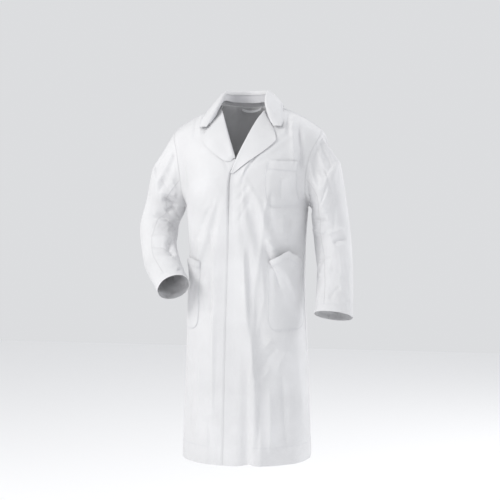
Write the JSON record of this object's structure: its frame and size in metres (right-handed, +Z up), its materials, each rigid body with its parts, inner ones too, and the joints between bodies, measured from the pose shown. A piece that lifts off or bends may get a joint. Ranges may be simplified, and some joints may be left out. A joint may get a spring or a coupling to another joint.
{
  "type": "lab coat",
  "caption": "Long white single-breasted lab coat in its worn shape, with notched lapels, a hidden-button fly front, patch pockets and sleeves that bend at shoulder and elbow.",
  "frame": {"origin": "middle of the neck opening, level with the neck ends of the shoulder seams, where the coat rests on the wearer's neck and shoulders", "axes": "+Z up, the front of the coat faces -Y, +X is the wearer's left"},
  "size_m": [0.6608, 0.3661, 1.0818],
  "materials": {
    "twill": "matt white twill weave",
    "inner_twill": "matt white twill weave, wrong side",
    "button": "polished off-white"
  },
  "bodies": {
    "torso": {"left_front_upper": "twill", "right_front": "twill", "back_left": "twill", "back_right": "twill", "left_facing_upper": "inner_twill", "right_facing": "inner_twill", "fly_strip_upper": "inner_twill", "button_1": "button", "button_2": "button", "button_3": "button", "button_4": "button", "button_5": "button", "breast_pocket": "twill", "right_pocket": "twill", "vent_underlap": "inner_twill", "left_lapel": "twill", "right_lapel": "twill", "collar_fall": "twill", "collar_stand": "inner_twill", "hanger_loop": "inner_twill"},
    "left_front": {"left_front_lower": "twill", "left_facing_lower": "inner_twill", "fly_strip_lower": "inner_twill", "left_pocket": "twill"},
    "left_upper_sleeve": {"left_top_sleeve_upper": "twill", "left_under_sleeve_upper": "twill"},
    "left_forearm": {"left_top_sleeve_lower": "twill", "left_under_sleeve_lower": "twill"},
    "right_upper_sleeve": {"right_top_sleeve_upper": "twill", "right_under_sleeve_upper": "twill"},
    "right_forearm": {"right_top_sleeve_lower": "twill", "right_under_sleeve_lower": "twill"}
  },
  "joints": [
    {"name": "left_front_open", "type": "hinge", "parent": "torso", "child": "left_front", "pos_m": [0.2, 0, -0.67], "axis": [0, 0, 1], "range_deg": [0, 18]},
    {"name": "left_shoulder", "type": "hinge", "parent": "torso", "child": "left_upper_sleeve", "pos_m": [0.221, 0, -0.078], "axis": [0, -1, 0], "range_deg": [0, 28]},
    {"name": "left_elbow", "type": "hinge", "parent": "left_upper_sleeve", "child": "left_forearm", "pos_m": [0.2555, 0.014, -0.397], "axis": [-1, 0, 0], "range_deg": [0, 45]},
    {"name": "right_shoulder", "type": "hinge", "parent": "torso", "child": "right_upper_sleeve", "pos_m": [-0.221, 0, -0.078], "axis": [0, 1, 0], "range_deg": [0, 20]},
    {"name": "right_elbow", "type": "hinge", "parent": "right_upper_sleeve", "child": "right_forearm", "pos_m": [-0.28, 0.026, -0.369], "axis": [0.7802, 0.5924, -0.2008], "range_deg": [0, 30]}
  ]
}
